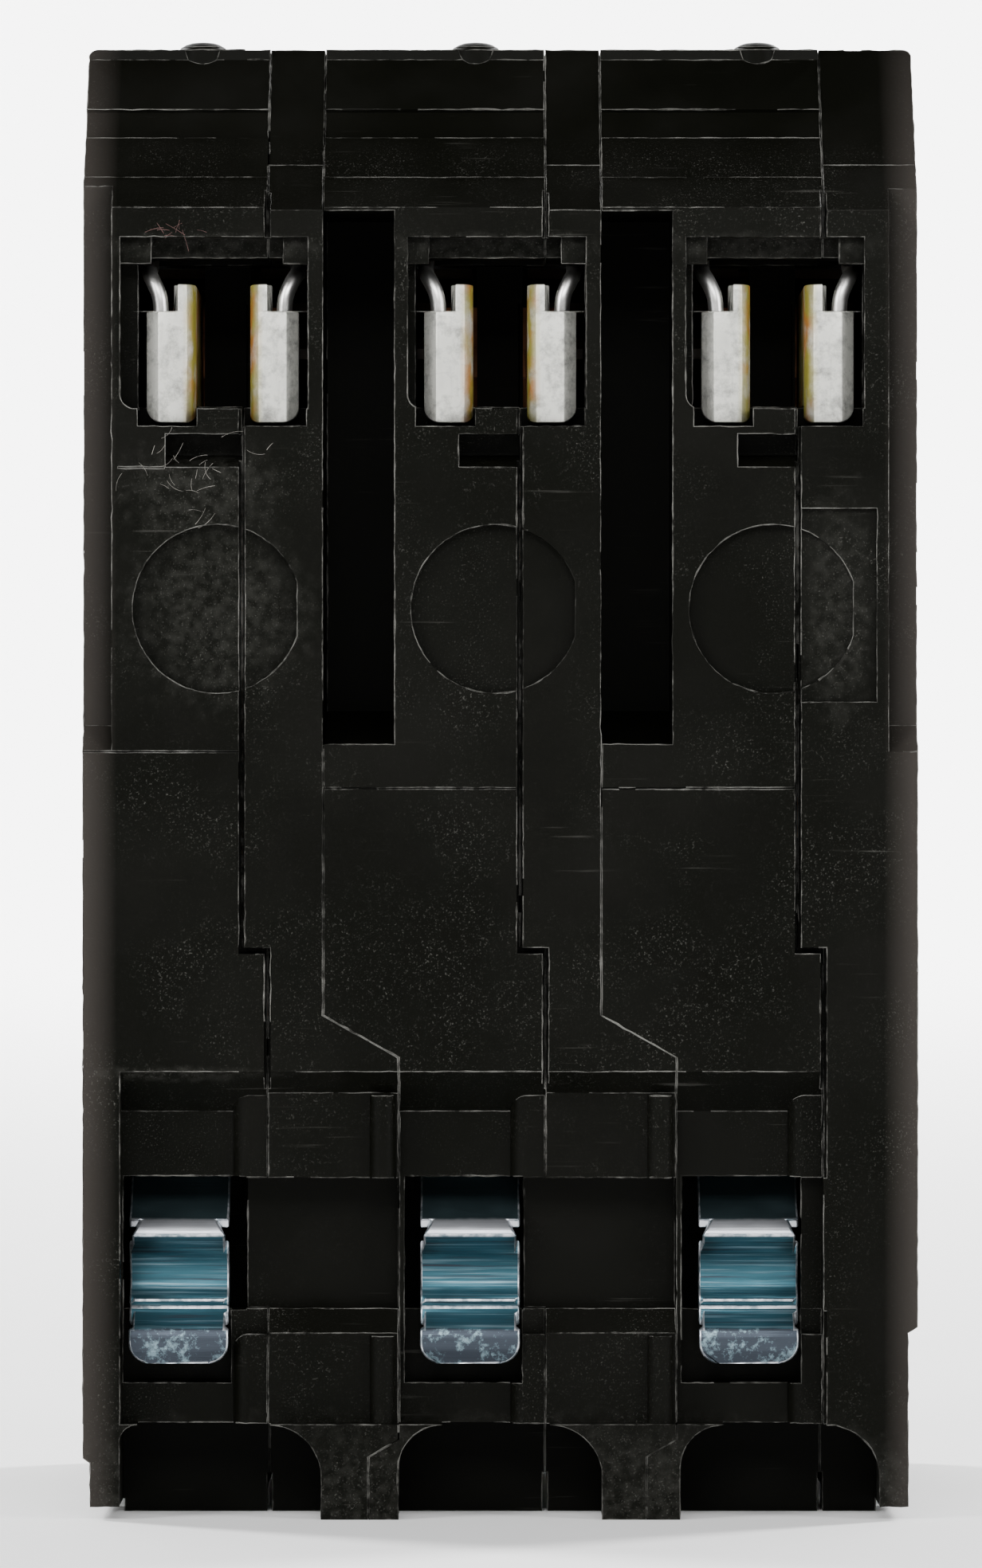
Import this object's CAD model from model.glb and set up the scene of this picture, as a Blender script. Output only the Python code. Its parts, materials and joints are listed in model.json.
# %% [markdown]
# A three-pole plug-on circuit breaker, seen from the back that plugs on to the bus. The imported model
# gives every piece at its real size, in metres: X across the poles, Y from the back to the handles,
# Z up from the load end. This lesson gives each piece its finish, and softens the edges that a mold
# or a press would leave rounded, because a perfectly sharp edge never catches the light.

# %% Load the breaker
import json
from math import cos, pi, radians, sin
from random import Random

import bmesh
import bpy
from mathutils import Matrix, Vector
from mathutils.noise import noise as cell_noise
from mathutils.noise import noise_vector, seed_set


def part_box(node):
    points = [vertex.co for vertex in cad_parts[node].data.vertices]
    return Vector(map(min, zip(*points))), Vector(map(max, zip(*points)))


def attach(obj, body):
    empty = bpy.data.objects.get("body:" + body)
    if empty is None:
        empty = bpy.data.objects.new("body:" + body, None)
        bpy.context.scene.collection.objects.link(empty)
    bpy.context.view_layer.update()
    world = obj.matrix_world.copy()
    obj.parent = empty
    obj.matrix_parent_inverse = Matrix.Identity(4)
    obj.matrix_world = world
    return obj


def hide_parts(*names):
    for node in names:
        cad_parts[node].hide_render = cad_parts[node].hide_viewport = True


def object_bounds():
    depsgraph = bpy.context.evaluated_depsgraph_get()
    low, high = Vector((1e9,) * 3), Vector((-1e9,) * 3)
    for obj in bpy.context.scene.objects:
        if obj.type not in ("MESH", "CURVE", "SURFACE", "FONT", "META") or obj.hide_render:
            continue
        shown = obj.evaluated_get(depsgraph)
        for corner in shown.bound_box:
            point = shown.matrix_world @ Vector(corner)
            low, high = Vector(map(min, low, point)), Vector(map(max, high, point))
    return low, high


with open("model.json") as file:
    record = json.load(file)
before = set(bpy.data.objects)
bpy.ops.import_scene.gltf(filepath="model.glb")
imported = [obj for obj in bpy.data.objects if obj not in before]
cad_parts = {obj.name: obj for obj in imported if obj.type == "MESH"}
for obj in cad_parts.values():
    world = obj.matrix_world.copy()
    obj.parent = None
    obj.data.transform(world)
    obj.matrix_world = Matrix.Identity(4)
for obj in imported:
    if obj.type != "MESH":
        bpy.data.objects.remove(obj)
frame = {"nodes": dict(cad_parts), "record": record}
cad_box = [list(corner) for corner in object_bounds()]
nodes = frame["nodes"]
MM = 0.001
print("breaker", [round((b - a) / MM, 2) for a, b in zip(*cad_box)], "mm")

# %% [markdown]
# Places come from the model itself. The middle of each handle is the middle of its pole, and the
# lowest Y of the case is the flat back that faces the camera.

# %% Where the poles are
POLES = (1, 2, 3)
HALVES = ("left", "right")
pole_x = {p: sum(c.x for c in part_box(f"pole_{p}_handle")) / 2 for p in POLES}
pitch = pole_x[2] - pole_x[1]
back_y = cad_box[0][1]
case_half_width = cad_box[1][0]
print("pitch", round(pitch / MM, 3), "mm, back plane at", round(back_y / MM, 2), "mm")

# %% [markdown]
# A finish is a graph of shader nodes. Three small helpers keep every finish readable: one starts a
# material, one adds a node and fills its inputs, and one turns a pattern into a mask between two
# values. Patterns read Object coordinates, so they keep their real size on every piece.

# %% Helpers for finishes
def new_finish(name, colour, roughness, metallic=0.0, gloss=0.5):
    material = bpy.data.materials.new(name)
    material.use_nodes = True
    shader = material.node_tree.nodes["Principled BSDF"]
    shader.inputs["Base Color"].default_value = (*colour, 1.0)
    shader.inputs["Roughness"].default_value = roughness
    shader.inputs["Metallic"].default_value = metallic
    shader.inputs["Specular IOR Level"].default_value = gloss
    return material, material.node_tree, shader


def add(tree, kind, settings=None, **inputs):
    node = tree.nodes.new("ShaderNode" + kind)
    for key, value in (settings or {}).items():
        setattr(node, key, value)
    for key, value in inputs.items():
        socket = node.inputs[int(key[1:]) if key[0] == "i" and key[1:].isdigit() else key]
        if isinstance(value, bpy.types.NodeSocket):
            tree.links.new(value, socket)
        else:
            socket.default_value = value
    return node


def mask(tree, value, low, high, start=0.0, end=1.0):
    node = add(tree, "MapRange", Value=value)
    for key, number in zip(("From Min", "From Max", "To Min", "To Max"), (low, high, start, end)):
        node.inputs[key].default_value = number
    return node.outputs["Result"]


def math(tree, operation, a, b=0.0):
    return add(tree, "Math", {"operation": operation}, i0=a, i1=b).outputs["Value"]


def blend(tree, factor, a, b):
    node = add(tree, "Mix", {"data_type": "RGBA"})
    for socket, value in ((node.inputs[0], factor), (node.inputs[6], a), (node.inputs[7], b)):
        if isinstance(value, bpy.types.NodeSocket):
            tree.links.new(value, socket)
        else:
            socket.default_value = value if isinstance(value, float) else (*value, 1.0)
    return node.outputs[2]


def place(tree, stretch=(1.0, 1.0, 1.0)):
    coords = add(tree, "TexCoord").outputs["Object"]
    return add(tree, "Mapping", Vector=coords, Scale=stretch).outputs["Vector"]


def noise(tree, where, scale, detail=3.0, rough=0.55):
    return add(tree, "TexNoise", Vector=where, Scale=scale, Detail=detail, Roughness=rough).outputs["Fac"]


def emboss(tree, shader, height, strength, depth):
    bump = add(tree, "Bump", Height=height, Strength=strength, Distance=depth)
    tree.links.new(bump.outputs["Normal"], shader.inputs["Normal"])


# %% [markdown]
# The case is molded in a black thermoset. It is not one flat black: it is a little olive, paler and
# dusty where the cheeks meet the back, finely pitted, and carries specks and hairline scratches from
# handling. Each of those is one pattern mixed over the base colour. The pits are a bump only a few
# hundredths of a millimetre deep.

# %% Molded black plastic
BLACK = (0.0017, 0.0018, 0.0010)
FADED = (0.0036, 0.0036, 0.0027)
CHEEK_DUST = (0.0330, 0.0290, 0.0255)
DUST = (0.13, 0.128, 0.115)
# How wide the dusty band on a cheek is, and how far in from the back each kind of dirt fades out.
CHEEK_BAND = 2.3 * MM
CHEEK_FADE = (18 * MM, 3 * MM)
SCUFF_FADE = (15.5 * MM, 14.5 * MM)
SPECK_FADE = (5.5 * MM, 3.5 * MM)
# A worn place is its pole, then its middle from the pole's middle and its half size, in millimetres.
WINDOW_SCUFF = (1, (-1.6, 70.5), (5.0, 3.5))
RAIL_SCUFF = (1, (-3.5, 30.5), (6.5, 0.5))
RECESS_SCUFF = (1, (-0.4, 62.4), (5.8, 5.8))
PANEL_SCUFF = (3, (4.2, 62.5), (2.2, 7.0))
LEG_SCUFF = (2, (0.0, 1.0), (40.0, 5.0))
POCKET_SCUFFS = tuple((p, (-0.4, 87.2), (7.0, 0.9)) for p in POLES)
PIP_SCUFFS = tuple((p, (-1.5, 101.6), (2.2, 1.3)) for p in POLES)
SCUFFS = (WINDOW_SCUFF, RAIL_SCUFF, RECESS_SCUFF, PANEL_SCUFF, LEG_SCUFF, *POCKET_SCUFFS, *PIP_SCUFFS)


def scuff(tree, ragged, pole, middle, size):
    """One inside an ellipse on the back, fading with ragged sides to nothing."""
    inverse = (1 / (size[0] * MM), 0.0, 1 / (size[1] * MM))
    shift = (-(pole_x[pole] / MM + middle[0]) / size[0], 0.0, -middle[1] / size[1])
    coords = add(tree, "TexCoord").outputs["Object"]
    local = add(tree, "Mapping", Vector=coords, Scale=inverse, Location=shift).outputs["Vector"]
    length = add(tree, "VectorMath", {"operation": "LENGTH"}, Vector=local).outputs["Value"]
    return mask(tree, math(tree, "ADD", length, ragged), 1.9, 1.2)


def near_back(tree, y, fade, start=0.0):
    return mask(tree, y, back_y + fade[0], back_y + fade[1], start, 1.0)


def worn_places(tree, where, y):
    """One inside every worn place, and only near the back."""
    ragged = math(tree, "MULTIPLY", noise(tree, where, 900.0), 1.2)
    worn = 0.0
    for spot in SCUFFS:
        worn = math(tree, "MAXIMUM", worn, scuff(tree, ragged, *spot))
    return math(tree, "MULTIPLY", worn, near_back(tree, y, SCUFF_FADE))


def dirt(tree, where, y, cheek):
    """How much dust lies on a point: specks, a haze in the worn places, and scratches."""
    worn = worn_places(tree, where, y)
    speck = mask(tree, noise(tree, where, 8200.0, 2.0), 0.60, 0.76, 0.0, 0.55)
    clustered = mask(tree, noise(tree, where, 170.0, 4.0), 0.44, 0.72, 0.06, 0.8)
    clustered = math(tree, "MAXIMUM", clustered, math(tree, "MULTIPLY", worn, 0.5))
    front_side = mask(tree, y, 0.0, 1.0 * MM)
    reached = math(tree, "MAXIMUM", near_back(tree, y, SPECK_FADE), math(tree, "MAXIMUM", cheek, front_side))
    specks = math(tree, "MULTIPLY", math(tree, "MULTIPLY", speck, clustered), reached)
    smear = mask(tree, noise(tree, where, 1500.0, 4.0), 0.40, 0.66, 0.01, 0.08)
    haze = math(tree, "MULTIPLY", math(tree, "MULTIPLY", worn, smear), reached)
    hairlines = noise(tree, place(tree, (110.0, 110.0, 3200.0)), 1.0, 2.0)
    patch = mask(tree, noise(tree, where, 130.0), 0.5, 0.62)
    scratch = math(tree, "MULTIPLY", mask(tree, hairlines, 0.66, 0.76, 0.0, 0.14), patch)
    return math(tree, "ADD", math(tree, "ADD", specks, haze), scratch)


def plastic_pattern(tree, shader):
    """Colour, gloss and pits shared by the case and by its beads of flash."""
    where = place(tree)
    cloud = noise(tree, where, 75.0, 5.0)
    colour = blend(tree, mask(tree, cloud, 0.42, 0.72), BLACK, FADED)
    x, y = (add(tree, "SeparateXYZ", Vector=where).outputs[axis] for axis in "XY")
    cheek = mask(tree, math(tree, "ABSOLUTE", x), case_half_width - CHEEK_BAND, case_half_width)
    cheek = math(tree, "MULTIPLY", cheek, near_back(tree, y, CHEEK_FADE, 0.12))
    colour = blend(tree, math(tree, "MULTIPLY", cheek, 0.9), colour, CHEEK_DUST)
    colour = blend(tree, dirt(tree, where, y, cheek), colour, DUST)
    grain = noise(tree, where, 2600.0, 3.0, 0.7)
    tree.links.new(mask(tree, cloud, 0.3, 0.7, 0.4, 0.58), shader.inputs["Roughness"])
    emboss(tree, shader, math(tree, "ADD", grain, math(tree, "MULTIPLY", cloud, 0.6)), 0.35, 0.03 * MM)
    return where, colour


def make_case_plastic():
    material, tree, shader = new_finish("molded_black", BLACK, 0.5, gloss=0.05)
    colour = plastic_pattern(tree, shader)[1]
    tree.links.new(colour, shader.inputs["Base Color"])
    return material


case_plastic = make_case_plastic()
print("molded black has", len(case_plastic.node_tree.nodes), "nodes")

# %% [markdown]
# Where two mold halves meet, thermoset leaves a thin flash that breaks off and scuffs to a dusty
# grey. Those are the pale, broken lines round every seam and pocket. This finish is for the beads
# that stand for it: the same plastic with ragged grey patches over it.

# %% Scuffed mold flash
FLASH = (0.125, 0.123, 0.113)


def make_flash_edge():
    material, tree, shader = new_finish("scuffed_flash", FLASH, 0.8, gloss=0.05)
    where, colour = plastic_pattern(tree, shader)
    ragged = noise(tree, where, 1100.0, 4.0, 0.7)
    patch = noise(tree, where, 120.0, 3.0)
    amount = math(tree, "ADD", math(tree, "MULTIPLY", ragged, 0.55), math(tree, "MULTIPLY", patch, 0.6))
    colour = blend(tree, mask(tree, amount, 0.50, 0.68, 0.05, 0.85), colour, FLASH)
    tree.links.new(colour, shader.inputs["Base Color"])
    return material


flash_edge = make_flash_edge()

# %% [markdown]
# A CAD mesh has razor edges and loose triangles. For a softened copy the triangles are welded, the
# flat faces are joined again, and every sharp edge gets a small bevel whose faces take the second
# material. Flat faces stay flat and round ones stay smooth, because shading is split at an angle.

# %% Soften the edges of a copy
def soften(node, width, finishes, segments=2, sharp=radians(32)):
    mesh = bpy.data.meshes.new(node + "_soft")
    bm = bmesh.new()
    bm.from_mesh(nodes[node].data)
    bmesh.ops.remove_doubles(bm, verts=bm.verts, dist=0.002 * MM)
    bmesh.ops.dissolve_degenerate(bm, edges=bm.edges, dist=0.002 * MM)
    bmesh.ops.dissolve_limit(bm, angle_limit=radians(0.6), verts=bm.verts, edges=bm.edges)
    for face in bm.faces:
        face.material_index = 0
    edges = [e for e in bm.edges if len(e.link_faces) == 2 and e.calc_face_angle() > sharp]
    material_index = 1 if len(finishes) > 1 else -1
    bmesh.ops.bevel(bm, geom=edges, offset=width, offset_type="OFFSET", segments=segments, profile=0.5,
                    affect="EDGES", material=material_index, clamp_overlap=False, loop_slide=True)
    bm.to_mesh(mesh)
    bm.free()
    for finish in finishes:
        mesh.materials.append(finish)
    mesh.shade_smooth()
    mesh.set_sharp_from_angle(angle=radians(38))
    piece = bpy.data.objects.new(node + "_soft", mesh)
    bpy.context.scene.collection.objects.link(piece)
    return piece


def body_holding(node):
    return next(name for name, held in frame["record"]["behaviour"]["bodies"].items() if node in held)


def stand_in(piece, node):
    """The softened piece moves with the node's body and is shown in its place."""
    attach(piece, body_holding(node))
    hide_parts(node)


# %% [markdown]
# Each pole is two molded halves. Their outline has to stay exact, with grooves only a seventh of a
# millimetre wide, so the halves keep the model's own mesh and only take the plastic. The flash is a
# separate piece: a ragged bead a tenth of a millimetre thick that runs along the outer edges.

# %% The six case halves
def refinish(node, finish):
    held = nodes[node]
    if not held.material_slots:
        held.data.materials.append(finish)
    for slot in held.material_slots:
        slot.material = finish


for p in POLES:
    for side in HALVES:
        refinish(f"pole_{p}_case_{side}", case_plastic)

# %% [markdown]
# A bead follows only the edges that a scuff can reach: sharp ones near the back, on the sloping line
# end and round the front. Long edges are cut into short steps, each point is nudged a few hundredths
# of a millimetre, and steps where a noise is low are left out, so the line breaks up as real flash
# does. The loose edges then become curves, because a curve can be given a round section. The vector
# noise starts from a random place unless it is seeded, so a seed gives the same beads each time.

# %% Beads of flash along the mold edges
STEP = 0.6 * MM
BEAD = 0.045 * MM
NUDGE = 0.035 * MM
RAGGED = 0.09 * MM
BROKEN_BELOW = -0.58
NUDGE_SEED = 7
BACK_REACH, FRONT_REACH = 14 * MM, 56 * MM


def is_outer_edge(edge):
    """True for a sharp, outward edge, or the foot of a slope, on the back or the front panel."""
    if len(edge.link_faces) != 2 or edge.calc_face_angle() < radians(24):
        return False
    if not edge.is_convex and edge.calc_face_angle() > radians(60):
        return False
    middle = (edge.verts[0].co + edge.verts[1].co) / 2
    facing_back = any(f.normal.y < -0.5 for f in edge.link_faces)
    return facing_back and middle.y < back_y + BACK_REACH or middle.y > back_y + FRONT_REACH


def outer_edges(node):
    """A wire mesh that holds only the outer edges of a node, cut into short steps."""
    bm = bmesh.new()
    bm.from_mesh(nodes[node].data)
    bmesh.ops.remove_doubles(bm, verts=bm.verts, dist=0.002 * MM)
    bmesh.ops.dissolve_limit(bm, angle_limit=radians(0.6), verts=bm.verts, edges=bm.edges)
    inner = [edge for edge in bm.edges if not is_outer_edge(edge)]
    bmesh.ops.delete(bm, geom=bm.faces[:], context="FACES_ONLY")
    bmesh.ops.delete(bm, geom=inner, context="EDGES")
    for edge in bm.edges[:]:
        cuts = int(edge.calc_length() / STEP)
        if cuts:
            bmesh.ops.subdivide_edges(bm, edges=[edge], cuts=cuts)
    return bm


def wrap_edges(name, bm, radius, finish):
    """Turns the loose edges of a bmesh into closed tubes that ride on the case."""
    mesh = bpy.data.meshes.new(name)
    bm.to_mesh(mesh)
    bm.free()
    piece = bpy.data.objects.new(name, mesh)
    bpy.context.scene.collection.objects.link(piece)
    bpy.ops.object.select_all(action="DESELECT")
    piece.select_set(True)
    bpy.context.view_layer.objects.active = piece
    bpy.ops.object.convert(target="CURVE")
    piece.data.bevel_depth = radius
    piece.data.bevel_resolution = 0
    piece.data.use_fill_caps = True
    for spline in piece.data.splines:
        for point in spline.points:
            at = point.co.to_3d()
            point.radius = 0.65 + 1.4 * abs(cell_noise(at * 900.0)) * (1.0 + cell_noise(at * 150.0))
    bpy.ops.object.convert(target="MESH")
    piece.data.materials.clear()
    piece.data.materials.append(finish)
    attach(piece, "case")
    return piece


def flash_bead(node):
    bm = outer_edges(node)
    broken = [v for v in bm.verts
              if cell_noise(v.co * 260.0) + 0.5 * cell_noise(v.co * 1900.0) < BROKEN_BELOW]
    bmesh.ops.delete(bm, geom=broken, context="VERTS")
    bmesh.ops.delete(bm, geom=[v for v in bm.verts if not v.link_edges], context="VERTS")
    for vert in bm.verts:
        ragged = max(0.0, cell_noise(vert.co * 420.0))
        vert.co += noise_vector(vert.co * 1700.0) * (NUDGE + RAGGED * ragged)
    return wrap_edges(node + "_flash", bm, BEAD, flash_edge)


seed_set(NUDGE_SEED)
for p in POLES:
    for side in HALVES:
        bead = flash_bead(f"pole_{p}_case_{side}")
        print(bead.name, len(bead.data.polygons), "faces")

# %% [markdown]
# Fine lint and curls of scratched plastic cling round the first pole's window and above its jaws.
# Each strand starts as one vertex, is extruded in a few short turning steps over the back face, and
# is wrapped into a tube thinner than a hair. A seeded dice gives the same strands each time.

# %% Lint on the back
STRAND = 0.013 * MM
STRAND_STEP = 0.22 * MM


def lint(name, x, z, spread, strands, finish):
    dice = Random(strands)
    bm = bmesh.new()
    for _ in range(strands):
        start = (dice.gauss(x, spread), back_y - STRAND, dice.gauss(z, 0.7 * spread))
        tip = bm.verts.new(start)
        heading, turn = dice.uniform(0.0, 2 * pi), dice.uniform(-0.22, 0.22)
        for _ in range(dice.randint(3, 7)):
            tip = bmesh.ops.extrude_vert_indiv(bm, verts=[tip])["verts"][0]
            heading += turn
            tip.co += Vector((cos(heading), 0.0, sin(heading))) * STRAND_STEP
    return wrap_edges(name, bm, STRAND, finish)


def make_lint_finish(name, colour):
    material, tree, shader = new_finish(name, colour, 0.9)
    dull = tuple(0.5 * c for c in colour)
    patch = noise(tree, place(tree), 1500.0)
    tree.links.new(blend(tree, mask(tree, patch, 0.4, 0.6), dull, colour), shader.inputs["Base Color"])
    return material


grey_lint = make_lint_finish("grey_lint", (0.20, 0.19, 0.17))
red_lint = make_lint_finish("red_lint", (0.11, 0.055, 0.05))
window_lint = lint("window_lint", pole_x[1] - 1.8 * MM, 72.2 * MM, 1.9 * MM, 26, grey_lint)
hanging_lint = lint("hanging_lint", pole_x[1] - 3.0 * MM, 88.6 * MM, 0.7 * MM, 11, red_lint)
print("lint", len(window_lint.data.polygons) + len(hanging_lint.data.polygons), "faces")

# %% [markdown]
# The jaw fingers are copper with a dull tin plate. The plate is soft, so it is blotchy and dragged,
# and where the bus stab has rubbed, beside the gap, the copper shows through as yellow, olive and
# orange. The distance from the pole's middle says where that is, and wrapping X by the pole pitch
# lets one finish serve all three poles.

# %% Tinned copper
TIN = (0.60, 0.60, 0.55)
TIN_DULL = (0.27, 0.27, 0.25)
OLIVE = (0.34, 0.31, 0.05)
RUST = (0.46, 0.20, 0.04)


def make_tinned_copper():
    material, tree, shader = new_finish("tinned_copper", TIN, 0.42, 0.6)
    where = place(tree)
    blotch = noise(tree, where, 850.0, 5.0, 0.7)
    colour = blend(tree, mask(tree, blotch, 0.46, 0.68), TIN, TIN_DULL)
    drag = noise(tree, place(tree, (3500.0, 3500.0, 300.0)), 1.0, 2.0)
    colour = blend(tree, mask(tree, drag, 0.6, 0.8, 0.0, 0.4), colour, TIN_DULL)
    x = add(tree, "SeparateXYZ", Vector=where).outputs["X"]
    wrapped = add(tree, "Math", {"operation": "WRAP"}, i0=x, i1=pitch / 2, i2=-pitch / 2).outputs["Value"]
    from_middle = math(tree, "ABSOLUTE", wrapped)
    edge = mask(tree, from_middle, 2.8 * MM, 2.05 * MM)
    patchy = mask(tree, noise(tree, where, 480.0, 4.0), 0.30, 0.52)
    stain = blend(tree, mask(tree, noise(tree, where, 260.0), 0.45, 0.6), OLIVE, RUST)
    colour = blend(tree, math(tree, "MULTIPLY", edge, patchy), colour, stain)
    tree.links.new(colour, shader.inputs["Base Color"])
    tree.links.new(mask(tree, blotch, 0.3, 0.7, 0.32, 0.6), shader.inputs["Roughness"])
    emboss(tree, shader, blotch, 0.6, 0.06 * MM)
    return material


tinned_copper = make_tinned_copper()
for p in POLES:
    for side in HALVES:
        node = f"pole_{p}_jaw_{side}"
        finger = soften(node, 0.08 * MM, (tinned_copper,), segments=3)
        stand_in(finger, node)
print("jaw finger", len(finger.data.polygons), "faces")

# %% [markdown]
# Springs, rivets and screws are plain steel. One finish serves them with two settings: drawn wire is
# bright and streaked along its length, and pressed steel is greyer and more mottled.

# %% Steel
def make_steel(name, colour, low, high, streak):
    material, tree, shader = new_finish(name, colour, low, 1.0)
    where = place(tree)
    mottle = noise(tree, where, 900.0, 4.0)
    streaks = noise(tree, place(tree, streak), 1.0, 2.0)
    dark = tuple(c * 0.55 for c in colour)
    tree.links.new(blend(tree, mask(tree, mottle, 0.4, 0.75), colour, dark), shader.inputs["Base Color"])
    tree.links.new(mask(tree, streaks, 0.3, 0.7, low, high), shader.inputs["Roughness"])
    emboss(tree, shader, streaks, 0.25, 0.02 * MM)
    return material


wire_steel = make_steel("drawn_wire", (0.72, 0.71, 0.69), 0.28, 0.42, (900.0, 900.0, 260.0))
pressed_steel = make_steel("pressed_steel", (0.46, 0.46, 0.46), 0.3, 0.5, (900.0, 3000.0, 900.0))

for p in POLES:
    refinish(f"pole_{p}_jaw_spring", wire_steel)
    refinish(f"pole_{p}_operating_spring", wire_steel)
    for part in ("cradle", "magnet_yoke", "armature"):
        refinish(f"pole_{p}_{part}", pressed_steel)

# %% [markdown]
# The drawn wire of the jaw spring comes from the model as a faceted tube of loose triangles. On a
# copy the triangles are welded and joined in pairs, and smooth shading then makes it read as round.

# %% Round the jaw wires
def rounded_wire(node, finish):
    mesh = bpy.data.meshes.new(node + "_round")
    bm = bmesh.new()
    bm.from_mesh(nodes[node].data)
    bmesh.ops.remove_doubles(bm, verts=bm.verts, dist=0.002 * MM)
    bmesh.ops.join_triangles(bm, faces=bm.faces, angle_face_threshold=radians(30),
                             angle_shape_threshold=radians(60))
    bm.to_mesh(mesh)
    bm.free()
    mesh.materials.append(finish)
    mesh.shade_smooth()
    piece = bpy.data.objects.new(node + "_round", mesh)
    bpy.context.scene.collection.objects.link(piece)
    return piece


for p in POLES:
    node = f"pole_{p}_jaw_spring"
    wire = rounded_wire(node, wire_steel)
    stand_in(wire, node)
print("jaw wire", len(wire.data.polygons), "faces")

# %% [markdown]
# The rail clips are spring steel with a blue zinc plate. Rolling leaves fine lines across the strip,
# the plate is teal in the valley, the crest is rubbed bright and the lip is dark and blotchy. Height
# along Z tells the finish which zone it is in, and a very flat stretched noise makes the lines. The
# bevelled edges get a second, rubbed finish, because a rail wears the edges first.

# %% Blue zinc plate
ZINC_BLUE = (0.036, 0.105, 0.135)
ZINC_LINE = (0.20, 0.29, 0.33)
ZINC_DARK = (0.045, 0.055, 0.070)
ZINC_PALE = (0.62, 0.64, 0.68)
ZINC_SHADE = (0.055, 0.088, 0.098)
clip_low, clip_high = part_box("pole_2_rail_clip")
CREST_TOP, CREST_END, LIP_TOP = 20.35 * MM, 19.35 * MM, 13.1 * MM


def make_blue_zinc():
    material, tree, shader = new_finish("blue_zinc", ZINC_BLUE, 0.4, 0.9)
    where = place(tree)
    bloom = noise(tree, where, 330.0, 4.0)
    z = add(tree, "SeparateXYZ", Vector=where).outputs["Z"]
    z = math(tree, "ADD", z, math(tree, "MULTIPLY", math(tree, "SUBTRACT", bloom, 0.5), 0.35 * MM))
    rolled = noise(tree, place(tree, (60.0, 60.0, 5200.0)), 1.0, 3.0, 0.7)
    colour = blend(tree, mask(tree, rolled, 0.53, 0.68), ZINC_BLUE, ZINC_LINE)
    colour = blend(tree, mask(tree, rolled, 0.44, 0.36), colour, ZINC_DARK)
    blotch = mask(tree, noise(tree, where, 1000.0, 6.0, 0.75), 0.52, 0.64)
    lip = blend(tree, blotch, ZINC_DARK, ZINC_LINE)
    colour = blend(tree, mask(tree, z, LIP_TOP, LIP_TOP - 0.15 * MM), colour, lip)
    crest = mask(tree, z, CREST_END, CREST_END + 0.25 * MM)
    colour = blend(tree, crest, colour, ZINC_PALE)
    colour = blend(tree, mask(tree, z, CREST_TOP, CREST_TOP + 0.2 * MM), colour, ZINC_SHADE)
    tree.links.new(colour, shader.inputs["Base Color"])
    tree.links.new(mask(tree, bloom, 0.3, 0.7, 0.34, 0.5), shader.inputs["Roughness"])
    emboss(tree, shader, rolled, 0.7, 0.04 * MM)
    return material


def make_rubbed_zinc():
    material, tree, shader = new_finish("rubbed_zinc", ZINC_PALE, 0.3, 0.85)
    worn = noise(tree, place(tree), 1300.0, 3.0)
    colour = blend(tree, mask(tree, worn, 0.42, 0.62), ZINC_PALE, (0.20, 0.25, 0.28))
    tree.links.new(colour, shader.inputs["Base Color"])
    return material


blue_zinc, rubbed_zinc = make_blue_zinc(), make_rubbed_zinc()
for p in POLES:
    node = f"pole_{p}_rail_clip"
    clip = soften(node, 0.14 * MM, (blue_zinc, rubbed_zinc), segments=3, sharp=radians(60))
    stand_in(clip, node)
print("rail clip", len(clip.data.polygons), "faces,", round((clip_high.x - clip_low.x) / MM, 2), "mm wide")

# %% [markdown]
# The toggles are molded in a smoother black than the case and are polished by thumbs. The tie rod
# that makes them move together is pressed steel, like the rivet heads on the cheeks.

# %% Toggles, tie rod and rivets
def make_toggle_plastic():
    material, tree, shader = new_finish("toggle_black", BLACK, 0.35, gloss=0.3)
    where = place(tree)
    rub = noise(tree, where, 160.0, 4.0)
    tree.links.new(blend(tree, mask(tree, rub, 0.5, 0.75), BLACK, FADED), shader.inputs["Base Color"])
    tree.links.new(mask(tree, rub, 0.3, 0.7, 0.28, 0.48), shader.inputs["Roughness"])
    emboss(tree, shader, noise(tree, where, 2200.0), 0.2, 0.02 * MM)
    return material


toggle_plastic = make_toggle_plastic()
for p in POLES:
    node = f"pole_{p}_handle"
    toggle = soften(node, 0.35 * MM, (toggle_plastic,), segments=3)
    stand_in(toggle, node)
print("toggle", len(toggle.data.polygons), "faces")
for node in ("handle_tie", "case_rivets"):
    piece = soften(node, 0.2 * MM, (pressed_steel,), segments=3)
    stand_in(piece, node)
refinish("trip_bar", toggle_plastic)

# %% [markdown]
# The terminal screws and lugs can be seen through the round openings at the load end, and the screw
# heads through the access holes in front. A softened edge on the lug's mouth shows its plate.

# %% Screws and lugs
for p in POLES:
    screw = soften(f"pole_{p}_terminal_screw", 0.1 * MM, (pressed_steel,), segments=2)
    stand_in(screw, f"pole_{p}_terminal_screw")
    lug = soften(f"pole_{p}_load_lug", 0.2 * MM, (tinned_copper,), segments=2)
    stand_in(lug, f"pole_{p}_load_lug")

# %% [markdown]
# Inside, the contact arm, the line contact and the bimetal are bare copper alloy, and the arc chute
# is vulcanised fibre. Little of them shows, so their nodes keep their mesh and get a finish.

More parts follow.
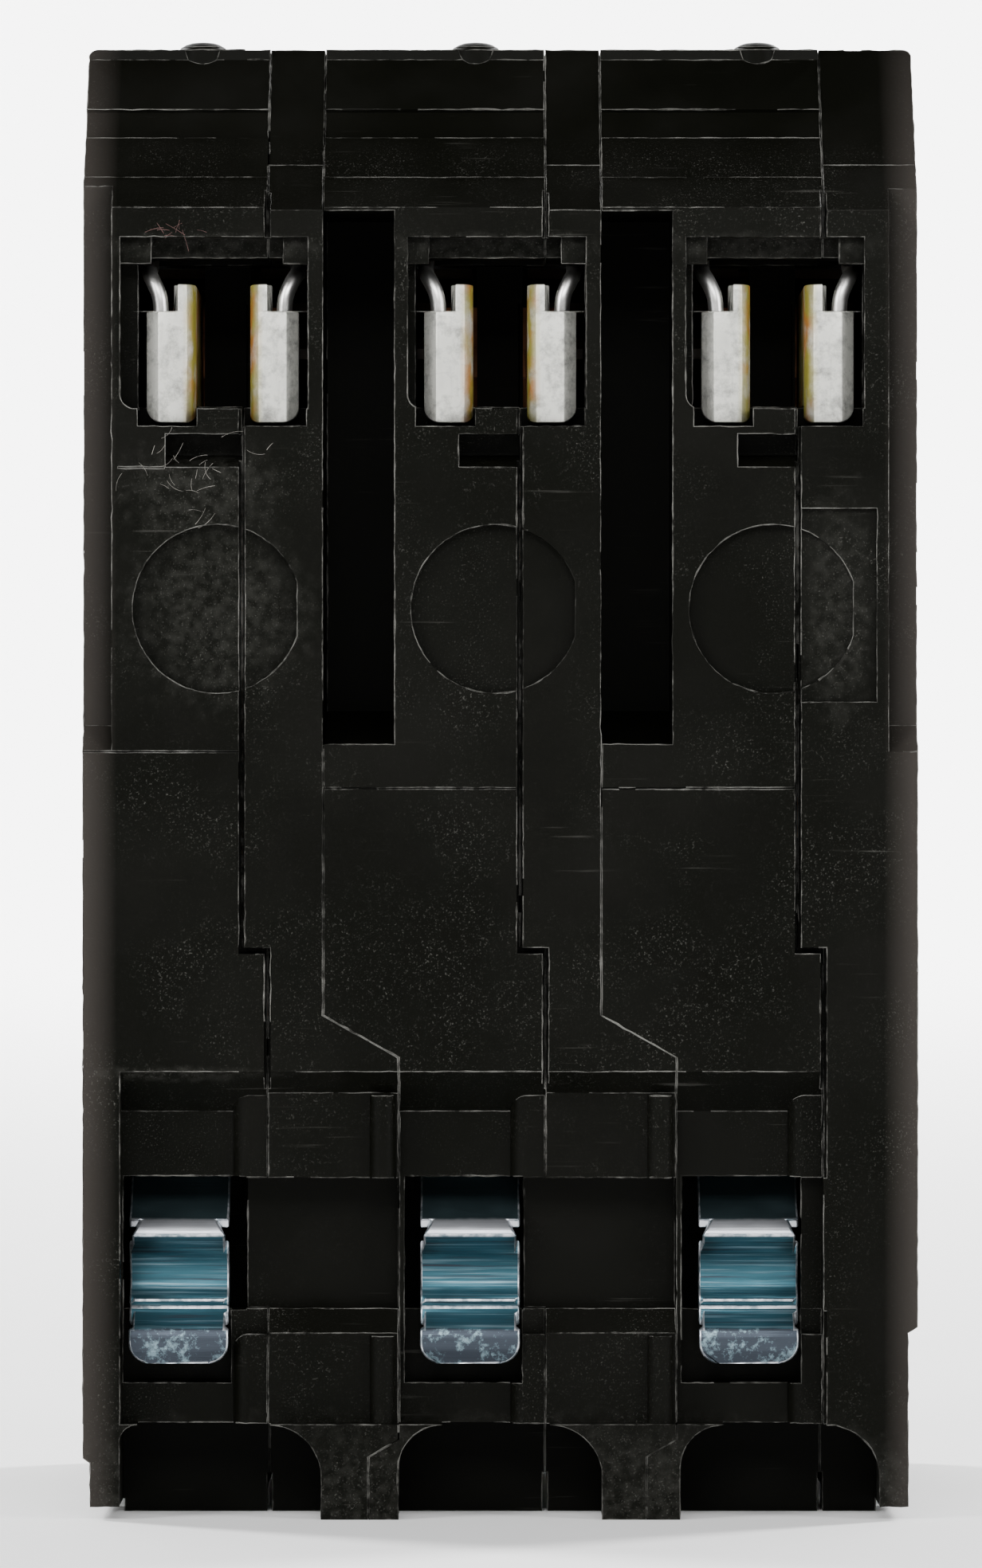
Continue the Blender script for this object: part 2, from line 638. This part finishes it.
# %% Copper and fibre
def make_copper():
    material, tree, shader = new_finish("bare_copper", (0.55, 0.24, 0.12), 0.35, 1.0)
    where = place(tree)
    tarnish = mask(tree, noise(tree, where, 350.0, 4.0), 0.45, 0.7)
    tree.links.new(blend(tree, tarnish, (0.55, 0.24, 0.12), (0.20, 0.09, 0.06)), shader.inputs["Base Color"])
    tree.links.new(mask(tree, tarnish, 0.0, 1.0, 0.3, 0.55), shader.inputs["Roughness"])
    return material


def make_fibre():
    material, tree, shader = new_finish("grey_fibre", (0.20, 0.15, 0.11), 0.85)
    where = place(tree, (400.0, 400.0, 4000.0))
    layers = noise(tree, where, 1.0, 4.0)
    tree.links.new(blend(tree, layers, (0.14, 0.10, 0.075), (0.26, 0.20, 0.15)), shader.inputs["Base Color"])
    emboss(tree, shader, layers, 0.3, 0.05 * MM)
    return material


bare_copper, grey_fibre = make_copper(), make_fibre()
for p in POLES:
    for part in ("line_contact", "contact_arm", "bimetal"):
        refinish(f"pole_{p}_{part}", bare_copper)
    refinish(f"pole_{p}_arc_chute", grey_fibre)

# %% [markdown]
# The breaker stands on a pale sweep: a floor that curves up into a wall, so there is no horizon
# line. A profile is extruded sideways and its corner is bevelled into a quarter circle. The wall is
# far enough away that the breaker can also be looked at from behind.

# %% Pale sweep
SIDE, WALL, WALL_TOP, SWEEP_RADIUS = 4.5, 3.2, 4.0, 1.2


def make_sweep():
    mesh = bpy.data.meshes.new("sweep")
    bm = bmesh.new()
    profile = ((-SIDE, -WALL, 0.0), (-SIDE, WALL, 0.0), (-SIDE, WALL, WALL_TOP))
    line = [bm.verts.new(Vector(at)) for at in profile]
    edges = [bm.edges.new(pair) for pair in zip(line, line[1:])]
    out = bmesh.ops.extrude_edge_only(bm, edges=edges)
    far_side = [g for g in out["geom"] if isinstance(g, bmesh.types.BMVert)]
    bmesh.ops.translate(bm, vec=(2 * SIDE, 0, 0), verts=far_side)
    corner = [e for e in bm.edges if all(v.co.y > WALL - MM and v.co.z < MM for v in e.verts)]
    bmesh.ops.bevel(bm, geom=corner, offset=SWEEP_RADIUS, offset_type="OFFSET", segments=24, profile=0.5,
                    affect="EDGES", material=-1, clamp_overlap=False)
    bmesh.ops.recalc_face_normals(bm, faces=bm.faces)
    bm.to_mesh(mesh)
    bm.free()
    mesh.shade_smooth()
    sweep = bpy.data.objects.new("sweep", mesh)
    bpy.context.scene.collection.objects.link(sweep)
    material, tree, shader = new_finish("pale_paper", (0.86, 0.86, 0.86), 0.9)
    mottle = noise(tree, place(tree), 40.0)
    tree.links.new(mask(tree, mottle, 0.3, 0.7, 0.86, 0.94), shader.inputs["Roughness"])
    mesh.materials.append(material)
    return sweep


sweep = make_sweep()
print("sweep", len(sweep.data.polygons), "faces")

# %% [markdown]
# Black plastic only shows what it reflects. The big lamps stand to the sides and above, out of the
# mirror direction of the flat back, so the back stays black and its edges light up. Two more lamps
# behind it wash the sweep until it is white.

# %% Lamps
def lamp(name, at, aim, size, power):
    data = bpy.data.lights.new(name, "AREA")
    data.shape = "RECTANGLE"
    data.size, data.size_y = size
    data.energy = power
    piece = bpy.data.objects.new(name, data)
    piece.location = at
    piece.rotation_euler = (Vector(aim) - Vector(at)).to_track_quat("-Z", "Y").to_euler()
    bpy.context.scene.collection.objects.link(piece)


middle = Vector((0.0, 0.0, (cad_box[0][2] + cad_box[1][2]) / 2))
lamp("key_left", (-0.55, -0.45, 0.40), middle, (0.3, 0.5), 5.0)
lamp("fill_right", (0.60, -0.42, 0.34), middle, (0.3, 0.5), 4.0)
lamp("front_high", (0.0, -0.62, 0.42), middle, (0.5, 0.2), 3.6)
lamp("wash_left", (-1.7, 1.5, 1.6), (0.0, 2.8, 0.3), (0.8, 0.8), 290.0)
lamp("wash_right", (1.7, 1.5, 1.6), (0.0, 2.8, 0.3), (0.8, 0.8), 290.0)

world = bpy.data.worlds.new("studio")
world.use_nodes = True
world.node_tree.nodes["Background"].inputs["Color"].default_value = (1.0, 1.0, 1.0, 1.0)
world.node_tree.nodes["Background"].inputs["Strength"].default_value = 0.08
bpy.context.scene.world = world

# %% [markdown]
# The camera looks straight at the back from about two thirds of a metre. The sloping line end lies
# further away than the back plane, and this distance makes it look as much narrower as it should.

# %% Camera
CAMERA_DISTANCE = 0.66
SENSOR = 36.0
IMAGE_WIDTH, IMAGE_HEIGHT = 1232, 1968
view_width = (cad_box[1][0] - cad_box[0][0]) / 0.850
view_height = view_width * IMAGE_HEIGHT / IMAGE_WIDTH
camera_data = bpy.data.cameras.new("camera")
camera_data.sensor_width = SENSOR
camera_data.lens = SENSOR * CAMERA_DISTANCE / view_height
camera_data.clip_end = 20.0
camera = bpy.data.objects.new("camera", camera_data)
camera.location = (-0.63 * MM, back_y - CAMERA_DISTANCE, 50.4 * MM)
camera.rotation_euler = (radians(90), 0, 0)
bpy.context.scene.collection.objects.link(camera)
bpy.context.scene.camera = camera
print("lens", round(camera_data.lens, 1), "mm")
